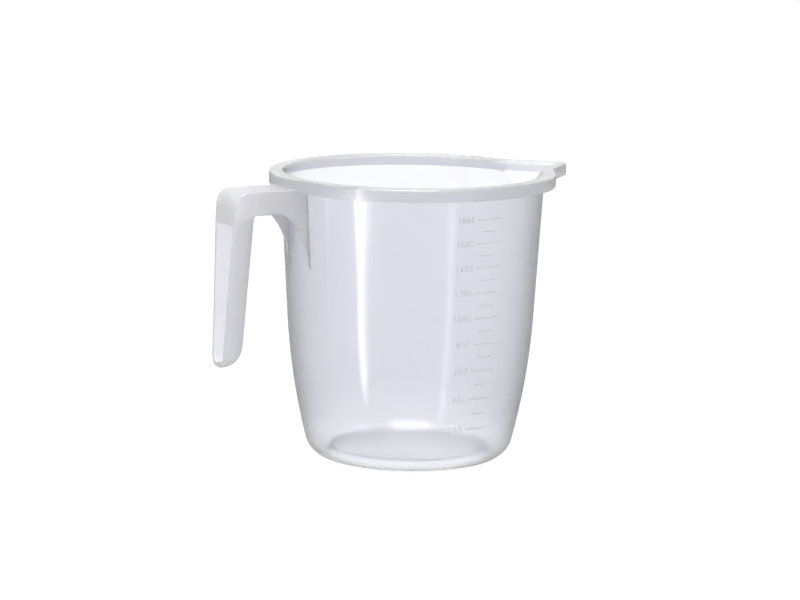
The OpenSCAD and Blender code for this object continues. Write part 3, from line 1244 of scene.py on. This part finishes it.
class Moulding:
    """Joins handle and bowl into one moulding and parts it into its named features.

    The faces where two features meet lie inside the plastic. Each piece has its own copy of
    them, so it is closed, and they are dressed to be invisible, so the plastic looks whole.
    """

    WELD = 2e-3  # millimetres
    STRIP_GAP = 1e-3  # millimetres
    CREASE = math.radians(38)
    FACE_WEIGHT = 50

    def __init__(self, body: JugBody, handle: Handle) -> None:
        """Keeps the two shapes.

        Args:
            body: The bowl with its base, rim and spout.
            handle: The handle.
        """
        self.body = body
        self.handle = handle
        self.guides = [bpy.data.materials.new(f"guide_{f.piece}") for f in Feature]
        self.points: list[Points] = []
        self.homes: list[int] = []
        self.parts = {feature: SolidPart() for feature in Feature}

    def _combine(
        self, first: bpy.types.Object, second: bpy.types.Object, operation: str
    ) -> bpy.types.Object:
        """Returns a new object: the two objects combined exactly.

        Args:
            first: The object that is changed in the result.
            second: The object that is added or taken away.
            operation: UNION or DIFFERENCE.

        Returns:
            The new object.
        """
        cut = first.modifiers.new("combine", "BOOLEAN")
        cut.solver, cut.operation, cut.object = "EXACT", operation, second
        cut.material_mode = "TRANSFER"
        graph = bpy.context.evaluated_depsgraph_get()
        mesh = bpy.data.meshes.new_from_object(first.evaluated_get(graph), depsgraph=graph)
        first.modifiers.remove(cut)
        return new_object(f"{first.name}_{operation.lower()}", mesh)

    def _features(self, mesh: bpy.types.Mesh) -> list[Feature]:
        """The feature of each polygon of a working mesh.

        Args:
            mesh: The working mesh.

        Returns:
            One feature for each polygon.
        """
        names = [f"guide_{f.piece}" for f in Feature]
        by_slot = [Feature(names.index(m.name)) for m in mesh.materials]
        return [by_slot[p.material_index] for p in mesh.polygons]

    def _smooth_normals(self, whole: bpy.types.Object) -> Points:
        """Normals at the corners of the whole moulding, led by its larger faces.

        Args:
            whole: The whole moulding.

        Returns:
            One normal for each corner.
        """
        mesh = whole.data
        mesh.shade_smooth()
        mesh.set_sharp_from_angle(angle=self.CREASE)
        weigh = whole.modifiers.new("weigh", "WEIGHTED_NORMAL")
        weigh.mode, weigh.weight, weigh.keep_sharp = "FACE_AREA", self.FACE_WEIGHT, True
        graph = bpy.context.evaluated_depsgraph_get()
        shaded = whole.evaluated_get(graph).data
        normals = np.zeros(len(shaded.loops) * 3, np.float32)
        shaded.corner_normals.foreach_get("vector", normals)
        whole.modifiers.remove(weigh)
        return normals.reshape(-1, 3).astype(float)

    def _add_face(
        self, feature: Feature, face: Face, normals: Points | None = None
    ) -> None:
        """Adds a polygon to a piece. Without normals it is an inner, unseen one.

        Args:
            feature: The piece.
            face: Numbers of the polygon's points.
            normals: Normals at its corners.
        """
        part = self.parts[feature]
        homes = [self.homes[i] for i in face]
        kept = [k for k, home in enumerate(homes) if home not in homes[:k]]
        if len(kept) < 3:
            return
        face = tuple(homes[k] for k in kept)
        part.faces.append(face)
        part.inner.append(normals is None)
        if normals is None:
            corners = [self.points[i] for i in face]
            total = sum(np.cross(a, b) for a, b in zip(corners, corners[1:] + corners[:1]))
            size = np.linalg.norm(total)
            normal = total / size if size > 0 else np.array([0.0, 0.0, 1.0])
            part.normals.append(np.tile(normal, (len(face), 1)))
        else:
            part.normals.append(normals[kept])

    def _add_strip(self, first: Feature, second: Feature, rows: list, tree: KDTree) -> None:
        """Adds the faces of one joint strip to both of its pieces, facing opposite ways.

        Args:
            first: One piece.
            second: The other piece.
            rows: Pairs of points that the strip joins.
            tree: The whole surface's points, to be found by place.
        """
        def known(point: Points) -> int:
            """Number of the surface's own point that lies there.

            Args:
                point: The place.

            Returns:
                The point's number.
            """
            _, index, gap = tree.find(point)
            if gap > self.STRIP_GAP:
                raise ValueError(f"a joint's point lies {gap:.4f} mm from the surface")
            return self.homes[index]

        pairs = [(known(a), known(b)) for a, b in rows]
        faces = [
            (pairs[i][0], pairs[i + 1][0], pairs[i + 1][1], pairs[i][1])
            for i in range(len(pairs) - 1)
        ]
        for feature in (first, second):
            edges = {
                (f[i], f[(i + 1) % len(f)]) for f in self.parts[feature].faces
                for i in range(len(f))
            }
            forward = any((a, b) in edges for a, b, _, _ in faces)
            forward = forward or any((c, d) in edges for _, _, c, d in faces)
            for face in faces:
                self._add_face(feature, tuple(reversed(face)) if forward else face)

    def build(
        self, finishes: dict[Feature, bpy.types.Material], join: bpy.types.Material
    ) -> list:
        """Builds every feature's piece.

        Args:
            finishes: Finish of the visible faces of each feature.
            join: Finish of the faces inside the plastic.

        Returns:
            The pieces, one for each feature.
        """
        body = self.body.shell().make_object("body_work", self.guides)
        arm = self.handle.shell().make_object("handle_work", self.guides)
        low = self.body.bowl.height - self.body.band_height
        trimmer = self.handle.trimmer(self.body.rim_radius, low).make_object(
            "trimmer_work", self.guides
        )
        for work in (body, arm, trimmer):
            mend(work)
        trimmed = self._combine(arm, trimmer, "DIFFERENCE")
        whole = self._combine(body, trimmed, "UNION")
        handle = self._combine(trimmed, body, "DIFFERENCE")
        normals = self._smooth_normals(whole)
        mesh = whole.data
        self.points = [np.array(v.co, float) for v in mesh.vertices]
        tree = KDTree(len(self.points))
        for index, point in enumerate(self.points):
            tree.insert(point, index)
        tree.balance()
        self.homes = [
            min(index for _, index, _ in tree.find_range(point, self.WELD))
            for point in self.points
        ]
        for polygon, feature in zip(mesh.polygons, self._features(mesh)):
            corners = list(polygon.loop_indices)
            self._add_face(feature, tuple(polygon.vertices), normals[corners])
        self._add_handle_joint(handle.data, tree)
        self._add_elbow_joint()
        for first, second, rows in self.body.joint_strips():
            self._add_strip(first, second, rows, tree)
        for work in (body, arm, trimmer, trimmed, whole, handle):
            bpy.data.objects.remove(work)
        for guide in self.guides:
            bpy.data.materials.remove(guide)
        return [self._piece(feature, finishes[feature], join) for feature in Feature]

    def _add_handle_joint(self, mesh: bpy.types.Mesh, tree: KDTree) -> None:
        """Adds the faces where the arm meets the wall and the band.

        Args:
            mesh: What of the handle stands outside the bowl and rim.
            tree: The whole surface's points, to be found by place.
        """
        numbers: dict[int, int] = {}
        for polygon, feature in zip(mesh.polygons, self._features(mesh)):
            if feature in (Feature.HANDLE_ARM, Feature.HANDLE_GRIP):
                continue
            face = []
            for index in polygon.vertices:
                if index not in numbers:
                    point = mesh.vertices[index].co
                    _, known, gap = tree.find(point)
                    if gap < self.WELD:
                        numbers[index] = self.homes[known]
                    else:
                        numbers[index] = len(self.points)
                        self.homes.append(len(self.points))
                        self.points.append(np.array(point, float))
                if numbers[index] not in face:
                    face.append(numbers[index])
            if len(face) > 2:
                self._add_face(Feature.HANDLE_ARM, tuple(face))
                self._add_face(feature, tuple(reversed(face)))

    def _add_elbow_joint(self) -> None:
        """Adds the face where the arm meets the grip."""
        edges = {
            (f[(i + 1) % len(f)], f[i]) for f in self.parts[Feature.HANDLE_GRIP].faces
            for i in range(len(f))
        }
        step = {}
        for face in self.parts[Feature.HANDLE_ARM].faces:
            for i, point in enumerate(face):
                after = face[(i + 1) % len(face)]
                if (point, after) in edges:
                    step[after] = point
        loop = [next(iter(step))]
        while step[loop[-1]] != loop[0]:
            loop.append(step[loop[-1]])
        self._add_face(Feature.HANDLE_ARM, tuple(loop))
        self._add_face(Feature.HANDLE_GRIP, tuple(reversed(loop)))

    def _piece(
        self, feature: Feature, plastic: bpy.types.Material, join: bpy.types.Material
    ) -> bpy.types.Object:
        """Makes the closed piece of one feature, without faces that lie back to back.

        Args:
            feature: The feature.
            plastic: Finish of its visible faces.
            join: Finish of its faces inside the plastic.

        Returns:
            The new piece.
        """
        part = self.parts[feature]
        known = Counter(frozenset(face) for face in part.faces)
        kept = [k for k, face in enumerate(part.faces) if known[frozenset(face)] == 1]
        part.faces = [part.faces[k] for k in kept]
        part.normals = [part.normals[k] for k in kept]
        part.inner = [part.inner[k] for k in kept]
        used = sorted({i for face in part.faces for i in face})
        number = {old: new for new, old in enumerate(used)}
        mesh = bpy.data.meshes.new(feature.piece)
        mesh.from_pydata(
            [(self.points[i] * MM).tolist() for i in used], [],
            [tuple(number[i] for i in face) for face in part.faces],
        )
        mesh.materials.append(plastic)
        mesh.materials.append(join)
        mesh.polygons.foreach_set("material_index", [int(i) for i in part.inner])
        mesh.shade_smooth()
        mesh.normals_split_custom_set(np.concatenate(part.normals).tolist())
        return place(f"{feature.piece}_moulded", mesh, [feature.piece])


def mend(work: bpy.types.Object) -> None:
    """Joins doubled points of a working object and turns its faces outwards.

    Args:
        work: The working object.
    """
    form = bmesh.new()
    form.from_mesh(work.data)
    bmesh.ops.remove_doubles(form, verts=form.verts, dist=1e-4)
    bmesh.ops.dissolve_degenerate(form, edges=form.edges, dist=1e-5)
    bmesh.ops.recalc_face_normals(form, faces=form.faces)
    form.to_mesh(work.data)
    form.free()


def place(
    name: str, mesh: bpy.types.Mesh, nodes: Sequence[str]
) -> bpy.types.Object:
    """Adds a piece to the scene and ties it to the model.

    Args:
        name: Name of the piece.
        mesh: Its mesh, in metres.
        nodes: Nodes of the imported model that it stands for.

    Returns:
        The new object.
    """
    piece = new_object(name, mesh)
    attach(piece, BODY)
    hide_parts(*nodes)
    return piece


# --------------------------------------------------------------------------- scale


@dataclass(frozen=True)
class Glyph:
    """Strokes of one numeral, as shares of its width and height."""

    lines: tuple[tuple[tuple[float, float], ...], ...]
    curved: bool = True


GLYPHS = {
    "0": Glyph((((0.5, 1), (0.12, 0.95), (0, 0.5), (0.12, 0.05), (0.5, 0), (0.88, 0.05),
                 (1, 0.5), (0.88, 0.95), (0.5, 1)),)),
    "1": Glyph((((0.2, 0.78), (0.6, 1), (0.6, 0)),), False),
    "2": Glyph((((0, 0.75), (0.12, 1), (0.88, 1), (1, 0.68), (0.7, 0.42), (0.05, 0.0),
                 (0.06, 0.0), (0.3, 0.0), (1, 0)),)),
    "4": Glyph((((1, 0.3), (0, 0.3), (0.72, 1), (0.72, 0)),), False),
    "6": Glyph((((0.85, 1), (0.3, 0.85), (0, 0.4), (0.02, 0.04), (0.5, -0.03), (0.98, 0.04),
                 (1, 0.5), (0.55, 0.6), (0.12, 0.5), (0.02, 0.3)),)),
    "8": Glyph((
        ((0.5, 0.54), (0.1, 0.56), (0.08, 0.97), (0.5, 1), (0.92, 0.97), (0.9, 0.56), (0.5, 0.54)),
        ((0.5, 0.54), (0.0, 0.5), (0.0, 0.02), (0.5, 0), (1.0, 0.02), (1.0, 0.5), (0.5, 0.54)),
    )),
}


@dataclass
class RaisedScale:
    """The raised volume scale on the wall: long and short marks and plain numerals."""

    END_TURNS: ClassVar[tuple[float, ...]] = (84, 62, 40, 20)

    bowl: BowlOutline = field(default_factory=BowlOutline)
    floor_top: float = 6.3
    drop: float = 17.7
    count: int = 9
    label_step: float = 10.0
    thickness: float = 0.8
    relief: float = 0.3
    gap: float = 0.01
    long_mark: float = 15.0
    short_mark: float = 9.0
    numeral_height: float = 3.4
    numeral_width: float = 1.9
    numeral_pitch: float = 2.6
    stroke: float = 0.45
    numeral_gap: float = 2.6
    fullness: float = 0.7
    mitre: float = 1.6
    profile_steps: int = 6
    mark_steps: int = 12
    slices: int = 1600

    def heights(self) -> tuple[float, Points, Points]:
        """Works the marks' heights out from the bowl's volume.

        Returns:
            The volume between numbered marks in millilitres, the heights of the long marks
            and those of the short ones.
        """
        levels = np.linspace(self.bowl.wall, self.bowl.height, self.slices)
        middle = (levels[1:] + levels[:-1]) / 2
        foot = self.bowl.corner_centre[0]
        area = np.array([
            math.pi * (self.bowl.radius(z, -self.bowl.wall) ** 2
                       - (foot**2 if z < self.floor_top else 0.0))
            for z in middle
        ])
        held = np.concatenate([[0.0], np.cumsum(area * np.diff(levels))])
        step = np.interp(self.bowl.height - self.drop, levels, held) / self.count
        whole = np.arange(1, self.count + 1)
        return (
            step / 1000,
            np.interp(whole * step, held, levels),
            np.interp((whole[:-1] + 0.5) * step, held, levels),
        )

    def _on_wall(self, along: float, z: float, out: float) -> tuple[float, float, float]:
        """A point on the wall, a length round from the middle of the scale, in metres.

        Args:
            along: Length round the wall.
            z: Height.
            out: Distance outwards from the wall's surface.

        Returns:
            The point.
        """
        angle = along / self.bowl.radius(z) - math.pi / 2
        radius = self.bowl.radius(z, self.gap + out)
        return (radius * math.cos(angle) * MM, radius * math.sin(angle) * MM, z * MM)

    def _ribbon(self, line: Points, width: float) -> tuple[list, list]:
        """A raised ribbon with a rounded back and rounded ends along a line on the wall.

        Args:
            line: Points as length round the wall and height.
            width: Width of the ribbon.

        Returns:
            Points in metres and polygons.
        """
        line = np.asarray(line, float)
        runs = np.diff(line, axis=0)
        runs /= np.linalg.norm(runs, axis=1)[:, None]
        tangents = np.vstack([runs[:1], runs[1:] + runs[:-1], runs[-1:]])
        stretch = 2 / np.maximum(np.linalg.norm(tangents[1:-1], axis=1), 1.0)
        stretch = np.concatenate([[1.0], np.minimum(stretch, self.mitre), [1.0]])
        tangents /= np.linalg.norm(tangents, axis=1)[:, None]
        turns = np.radians(self.END_TURNS)
        stations = [(line[0] - tangents[0] * width / 2 * math.sin(t), tangents[0], math.cos(t))
                    for t in turns]
        stations += [(p, t, s) for p, t, s in zip(line, tangents, stretch)]
        stations += [(line[-1] + tangents[-1] * width / 2 * math.sin(t), tangents[-1],
                      math.cos(t)) for t in turns[::-1]]
        points = []
        angles = np.linspace(0, math.pi, self.profile_steps + 1)
        for middle, tangent, share in stations:
            across = np.array([-tangent[1], tangent[0]])
            for angle in angles:
                at = middle + across * math.cos(angle) * width / 2 * share
                lift = math.sin(angle) ** self.fullness * self.relief * min(share, 1.0)
                points.append(self._on_wall(at[0], at[1], lift))
        return points, tube_faces(len(stations), len(angles))

    @staticmethod
    def _smoothed(line: Points, rounds: int = 3) -> Points:
        """Rounds a line's corners off and keeps its ends.

        Args:
            line: The line's points.
            rounds: Number of times that corners are cut.

        Returns:
            The smoother line.
        """
        line = np.asarray(line, float)
        for _ in range(rounds):
            near = line[:-1] * 0.75 + line[1:] * 0.25
            far = line[:-1] * 0.25 + line[1:] * 0.75
            line = np.vstack([line[:1], np.stack([near, far], axis=1).reshape(-1, 2), line[-1:]])
        return line

    def _object(
        self, name: str, ribbons: Iterable[tuple[list, list]], finish: bpy.types.Material
    ) -> bpy.types.Object:
        """Gathers ribbons in one piece that stands for a node.

        Args:
            name: Name of the node.
            ribbons: Points and polygons of each ribbon.
            finish: The piece's finish.

        Returns:
            The new piece.
        """
        points, faces = [], []
        for more, polygons in ribbons:
            faces += [tuple(i + len(points) for i in face) for face in polygons]
            points += more
        mesh = bpy.data.meshes.new(name)
        mesh.from_pydata(points, [], faces)
        mesh.materials.append(finish)
        mesh.shade_smooth()
        return place(f"{name}_raised", mesh, [name])

    def build(self, finish: bpy.types.Material) -> list[bpy.types.Object]:
        """Builds the three pieces of the scale.

        Args:
            finish: Their finish.

        Returns:
            The long marks, the short marks and the numerals.
        """
        step, long_heights, short_heights = self.heights()
        label = round(step / self.label_step) * self.label_step
        LOG.info("numbered marks are %.2f ml apart and labelled every %d ml", step, label)
        start, end = self.numeral_gap / 2, self.numeral_gap / 2 + self.long_mark
        inset = (self.long_mark - self.short_mark) / 2
        half = self.thickness / 2

        def mark(z: float, low: float, high: float) -> tuple[list, list]:
            """One line of the scale."""
            line = [(s, z) for s in np.linspace(low + half, high - half, self.mark_steps)]
            return self._ribbon(np.array(line), self.thickness)

        numerals = []
        for number, z in enumerate(long_heights, start=1):
            text = str(int(number * label))
            for i, digit in enumerate(text):
                left = (i - len(text)) * self.numeral_pitch + self.numeral_pitch
                left += self.stroke / 2 - self.numeral_width - start
                for shares in GLYPHS[digit].lines:
                    line = np.array(shares, float)
                    line[:, 0] = left + line[:, 0] * (self.numeral_width - self.stroke)
                    line[:, 1] = z + (line[:, 1] - 0.5) * (self.numeral_height - self.stroke)
                    if GLYPHS[digit].curved:
                        line = self._smoothed(line)
                    numerals.append(self._ribbon(line, self.stroke))
        return [
            self._object("long_marks", [mark(z, start, end) for z in long_heights], finish),
            self._object("short_marks", [mark(z, start + inset, end - inset)
                                         for z in short_heights], finish),
            self._object("scale_numerals", numerals, finish),
        ]


# --------------------------------------------------------------------------- studio


def stand(thing: bpy.types.Object, columns: Sequence[Sequence[float]]) -> None:
    """Turns and places a camera or a lamp.

    Args:
        thing: The camera or lamp.
        columns: Its three axes and its place.
    """
    matrix = Matrix.Identity(4)
    for column, vector in enumerate(columns):
        for row in range(3):
            matrix[row][column] = vector[row]
    thing.matrix_world = matrix


@dataclass(frozen=True)
class PhotoCamera:
    """The camera at the photograph's place, for a picture of 800 by 600."""

    location: tuple[float, float, float] = (-0.96566319, -1.74210252, 0.421204)
    right: tuple[float, float, float] = (0.8771309, -0.48002167, 0.0148516)
    up: tuple[float, float, float] = (0.06672647, 0.1524356, 0.9860583)
    focal_pixels: float = 3662.09
    picture_width: float = 800.0
    sensor: float = 36.0

    def build(self) -> bpy.types.Object:
        """Makes the scene's camera.

        Returns:
            The camera's object.
        """
        lens = bpy.data.cameras.new("photo_camera")
        lens.sensor_width = self.sensor
        lens.lens = self.focal_pixels * self.sensor / self.picture_width
        lens.clip_start, lens.clip_end = 0.05, 60.0
        camera = new_object("photo_camera", lens)
        back = np.cross(self.right, self.up)
        stand(camera, (self.right, self.up, back, self.location))
        bpy.context.scene.camera = camera
        return camera


@dataclass(frozen=True)
class Studio:
    """White floor and surround, with soft light, a tall strip of light and two bright cards.

    The wall leans out, so a viewer who looks down on it sees the floor mirrored in it. A card
    lies there and draws the long streak. The tall strip draws the fainter one, in the far
    side's inner surface. The card overhead brightens the gloss of the rim and the base.
    """

    floor_radius: float = 9.0
    floor_colour: float = 0.4
    floor_glow: float = 0.8
    floor_mirrored: float = 0.1
    world_light: float = 0.8
    strip_place: tuple[float, float, float] = (-0.641, -0.244, 0.26)
    strip_size: tuple[float, float] = (0.045, 0.46)
    strip_power: float = 0.4
    card_start: tuple[float, float] = (-0.0553, -0.0427)
    card_way: tuple[float, float] = (-0.9681, -0.2504)
    card_rows: tuple[tuple[float, float, float], ...] = (
        (0.05, 0.005, 0.0), (0.085, 0.0063, 0.5), (0.12, 0.0085, 1.0), (0.25, 0.017, 1.0),
        (0.411, 0.028, 1.0), (0.6, 0.07, 1.0), (0.95, 0.18, 1.0),
    )
    card_shares: tuple[tuple[float, float], ...] = ((-1.0, 0.0), (-0.8, 1.0), (0.5, 1.0),
                                                    (1.1, 0.4), (2.6, 0.0))
    card_height: float = 0.0006
    card_glow: float = 6.5
    ceiling_place: tuple[float, float, float] = (-0.25, -0.35, 1.1)
    ceiling_size: float = 0.7
    ceiling_glow: float = 15.0

    def _flat(
        self, name: str, points: list, finish: bpy.types.Material, faces: list[Face]
    ) -> bpy.types.Object:
        """Makes a flat piece of the studio.

        Args:
            name: Name of the piece.
            points: Its points.
            finish: Its finish.
            faces: Its polygons.

        Returns:
            The new object.
        """
        mesh = bpy.data.meshes.new(name)
        mesh.from_pydata(points, [], faces)
        mesh.materials.append(finish)
        made = new_object(name, mesh)
        return made

    def _floor(self) -> None:
        """Makes the pale floor, a wide disc."""
        ring = np.linspace(0, 2 * math.pi, 96, endpoint=False)
        sheet = NodeSheet.finish("pale_floor")
        matt = sheet.add("ShaderNodeBsdfDiffuse", Color=(*[self.floor_colour] * 3, 1.0))
        glow = sheet.add("ShaderNodeEmission",
                         Strength=sheet.seen(self.floor_glow, self.floor_mirrored, 0.0))
        both = sheet.add("ShaderNodeAddShader")
        for number, part in enumerate((matt, glow)):
            sheet.tree.links.new(part.outputs[0], both.inputs[number])
        sheet.show("ShaderNodeOutputMaterial", both.outputs[0])
        radius = self.floor_radius
        self._flat("studio_floor", [(radius * math.cos(a), radius * math.sin(a), 0) for a in ring],
                   sheet.owner, [tuple(range(len(ring)))])

    def _world(self) -> None:
        """Makes the white surround."""
        world = bpy.data.worlds.new("white_surround")
        sheet = NodeSheet(world)
        white = sheet.add("ShaderNodeBackground", Color=(1.0, 1.0, 1.0, 1.0),
                          Strength=sheet.seen(1.0, 1.0, self.world_light))
        sheet.show("ShaderNodeOutputWorld", white.outputs[0])
        bpy.context.scene.world = world

    def _cards(self) -> None:
        """Makes the bright cards on the floor and overhead that only the gloss shows."""
        start, way = np.array(self.card_start), np.array(self.card_way)
        side = np.array([-way[1], way[0]])
        points, levels = [], []
        for run, half, bright in self.card_rows:
            for offset, share in self.card_shares:
                points.append((*(start + way * run + side * half * offset), self.card_height))
                levels.append((*[bright * share] * 3, 1.0))
        row = len(self.card_shares)
        faces = [(k * row + i, k * row + i + 1, (k + 1) * row + i + 1, (k + 1) * row + i)
                 for k in range(len(self.card_rows) - 1) for i in range(row - 1)]
        x, y, z = self.ceiling_place
        half = self.ceiling_size / 2
        square = [(x - half, y - half, z), (x - half, y + half, z), (x + half, y + half, z),
                  (x + half, y - half, z)]
        for name, strength, outline, polygons, shares in (
            ("floor_card", self.card_glow, points, faces, levels),
            ("ceiling_card", self.ceiling_glow, square, [(0, 1, 2, 3)], [(1.0,) * 4] * 4),
        ):
            sheet = NodeSheet.finish(f"bright_{name}")
            level = sheet.add("ShaderNodeAttribute", attribute_name="glow")
            glow = sheet.add("ShaderNodeEmission", Strength=strength,
                             Color=level.outputs["Color"])
            sheet.show("ShaderNodeOutputMaterial", glow.outputs[0])
            card = self._flat(name, outline, sheet.owner, polygons)
            shade = card.data.color_attributes.new("glow", "FLOAT_COLOR", "POINT")
            for corner, share in zip(shade.data, shares):
                corner.color = share
            card.visible_camera = card.visible_diffuse = False
            card.visible_transmission = card.visible_shadow = False

    def _strip(self) -> None:
        """Makes the tall strip of light."""
        lamp = bpy.data.lights.new("tall_strip", "AREA")
        lamp.shape = "RECTANGLE"
        lamp.size, lamp.size_y = self.strip_size
        lamp.energy = self.strip_power
        strip = new_object("tall_strip", lamp)
        x, y, z = self.strip_place
        facing = np.array([-x, -y, 0.0]) / math.hypot(x, y)
        side = np.cross([0.0, 0.0, 1.0], -facing)
        stand(strip, (side, (0.0, 0.0, 1.0), -facing, (x, y, z)))
        strip.visible_camera = False

    def build(self) -> None:
        """Builds floor, surround, cards and lamp, and sets how the picture is shown."""
        self._floor()
        self._world()
        self._cards()
        self._strip()
        bpy.context.scene.view_settings.view_transform = "Standard"


def main() -> None:
    """Builds the jug, its scale and the studio."""
    logging.basicConfig(level=logging.INFO, format="%(name)s: %(message)s")
    finishes: dict[Feature, bpy.types.Material] = {}
    for finish, features in MOULDED_FINISHES:
        finishes.update(dict.fromkeys(features, finish.material()))
    pieces = Moulding(JugBody(), Handle()).build(finishes, InnerJoin().material())
    pieces += RaisedScale().build(RELIEF.material())
    for piece in pieces:
        LOG.info("%s has %d polygons", piece.name, len(piece.data.polygons))
    Studio().build()
    PhotoCamera().build()


if __name__ == "__main__":
    main()
